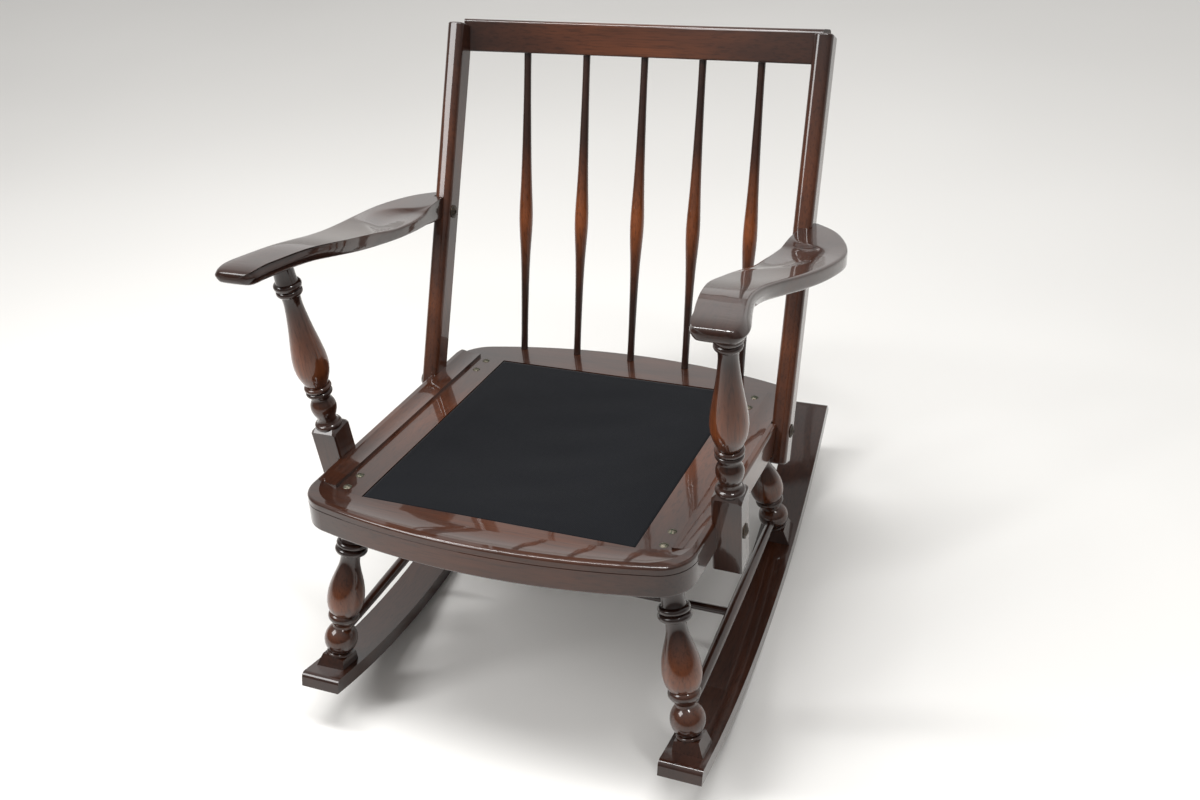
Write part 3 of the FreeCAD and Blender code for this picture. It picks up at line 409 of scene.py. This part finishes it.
def grid_faces(rows, columns):
    """Four-sided faces of a grid of that many cells."""
    wide = columns + 1
    starts = [row * wide + column for row in range(rows) for column in range(columns)]
    return [(a, a + 1, a + wide + 1, a + wide) for a in starts]


mesh = bpy.data.meshes.new("sling cloth")
mesh.from_pydata(sling_points(), [], grid_faces(ROWS, COLUMNS))
for polygon in mesh.polygons:
    polygon.use_smooth = True
sling = bpy.data.objects.new("sling_cloth", mesh)
bpy.context.scene.collection.objects.link(sling)
thick = sling.modifiers.new("thickness", "SOLIDIFY")
thick.thickness = CLOTH_THICK
thick.offset = -1.0
print("cloth faces", len(mesh.polygons))

# %% [markdown]
# ## The weave
# The cloth is a plain weave, black with a touch of navy. Threads could be drawn one by one, but at this
# size two sets of fine waves, one across the other, do the same: they raise the relief, and the colour
# is painted lighter on the tops of the threads, a painted highlight where light catches them. A broad
# noise makes the black a little uneven, as on cloth that has been sat on.

# %% Weave the finish
THREADS_PER_METRE = 520.0
WAVE_NODE_FACTOR = 20.0
WAVES = {"Scale": THREADS_PER_METRE * 2 * math.pi / WAVE_NODE_FACTOR, "Distortion": 0.6, "Detail": 1.0}
WEAR = {"Scale": 9.0, "Detail": 4.0}
# the lighter stop is a painted highlight on the tops of the threads
CLOTH_AND_HIGHLIGHT_STOPS = [(0.0, (0.0018, 0.0022, 0.0034)), (0.6, (0.0058, 0.0070, 0.0105))]
MATT = {"Roughness": 0.92, "Specular_IOR_Level": 0.12, "Sheen_Weight": 0.05, "Sheen_Roughness": 0.5}


def woven(name):
    """Black woven cloth, its thread tops painted lighter as a painted highlight."""
    material, tree, shader = new_finish(name, **MATT)
    place = own_place(tree)
    warp, weft = (add(tree, "ShaderNodeTexWave", {"Vector": place, **WAVES}, bands_direction=way)
                  for way in ("X", "Y"))
    threads = combine(tree, "MULTIPLY", warp.outputs["Fac"], weft.outputs["Fac"])
    wear = add(tree, "ShaderNodeTexNoise", {"Vector": place, **WEAR}).outputs["Fac"]
    # painted highlight: lighter colour where the thread waves peak, made uneven by the real wear noise
    colour = ramp(tree, combine(tree, "MULTIPLY", threads, wear), CLOTH_AND_HIGHLIGHT_STOPS)
    tree.links.new(colour, shader.inputs["Base Color"])
    raise_relief(tree, shader, "Normal", threads, 0.35, 0.0006)
    return material


print("threads a metre", THREADS_PER_METRE)

# %% Put the cloth in the seat
dress(sling, woven("sling cloth"))
dress(nodes["seat_fabric"], woven("sling slab"))
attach(sling, "root")
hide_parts("seat_fabric")
print("the cloth stands for the slab")

# %% [markdown]
# ## Floor and sky
# The real lacquer mirrors white from behind and above, and something dimmer from the front. One even
# sky would be simpler, but it lays a grey veil on every surface that faces forward. So the sky's
# strength follows its direction: bright behind and above, dim in front. The floor is plain and pale.

# %% The floor
FLOOR_HALF = 8.0
FLOOR_STOPS = [(0.3, (0.70, 0.69, 0.67)), (0.7, (0.74, 0.73, 0.71))]
bpy.ops.mesh.primitive_plane_add(size=2 * FLOOR_HALF, location=(0, 0, 0))
floor = bpy.context.object
floor.name = "floor"
material, tree, shader = new_finish("pale floor", Roughness=0.55)
patches = add(tree, "ShaderNodeTexNoise", {"Vector": own_place(tree), "Scale": 0.8, "Detail": 2.0})
tree.links.new(ramp(tree, patches.outputs["Fac"], FLOOR_STOPS), shader.inputs["Base Color"])
dress(floor, material)
print("floor", 2 * FLOOR_HALF, "m square")

# %% The sky
SKY_DIM, SKY_ABOVE, SKY_BEHIND = 0.08, 0.66, 0.84
LOW_TO_HIGH, FRONT_TO_BACK = (-0.1, 0.95), (-0.15, 0.55)
world = bpy.data.worlds.new("soft sky")
bpy.context.scene.world = world
world.use_nodes = True
tree = world.node_tree
toward = add(tree, "ShaderNodeTexCoord").outputs["Generated"]
split = add(tree, "ShaderNodeSeparateXYZ", {"Vector": toward})
by_height = remap(tree, split.outputs["Z"], LOW_TO_HIGH, (SKY_DIM, SKY_ABOVE))
by_depth = remap(tree, split.outputs["Y"], FRONT_TO_BACK, (0.0, SKY_BEHIND))
sky = tree.nodes["Background"]
tree.links.new(combine(tree, "MAXIMUM", by_height, by_depth), sky.inputs["Strength"])
sky.inputs["Color"].default_value = (1.0, 0.99, 0.975, 1.0)
print("sky from", SKY_DIM, "to", SKY_BEHIND)

# %% [markdown]
# ## The lamps
# One lamp would give light enough, but glossy wood is read by what it mirrors. So a broad soft lamp at
# the front left shapes the turnings, and two long narrow ones overhead are there for the pairs of
# small highlights that the real lacquer shows on the arms.

# %% Hang the lamps
AIM = Vector((0.0, -0.05, 0.35))
LONG = (0.18, 1.3)
LAMPS = {
    "broad": ((-1.7, -1.6, 2.4), (1.3, 1.3), 48.0),
    "long left": ((-0.7, -0.3, 2.6), LONG, 32.0),
    "long right": ((0.5, -0.3, 2.6), LONG, 32.0),
}
for name, (place, size, power) in LAMPS.items():
    data = bpy.data.lights.new(name, "AREA")
    data.shape = "RECTANGLE"
    data.size, data.size_y = size
    data.energy = power
    lit = bpy.data.objects.new(name, data)
    bpy.context.scene.collection.objects.link(lit)
    lit.location = place
    lit.rotation_euler = (AIM - Vector(place)).to_track_quat("-Z", "Y").to_euler()
bpy.context.scene.view_settings.view_transform = "Standard"
print("lamps", sorted(LAMPS))
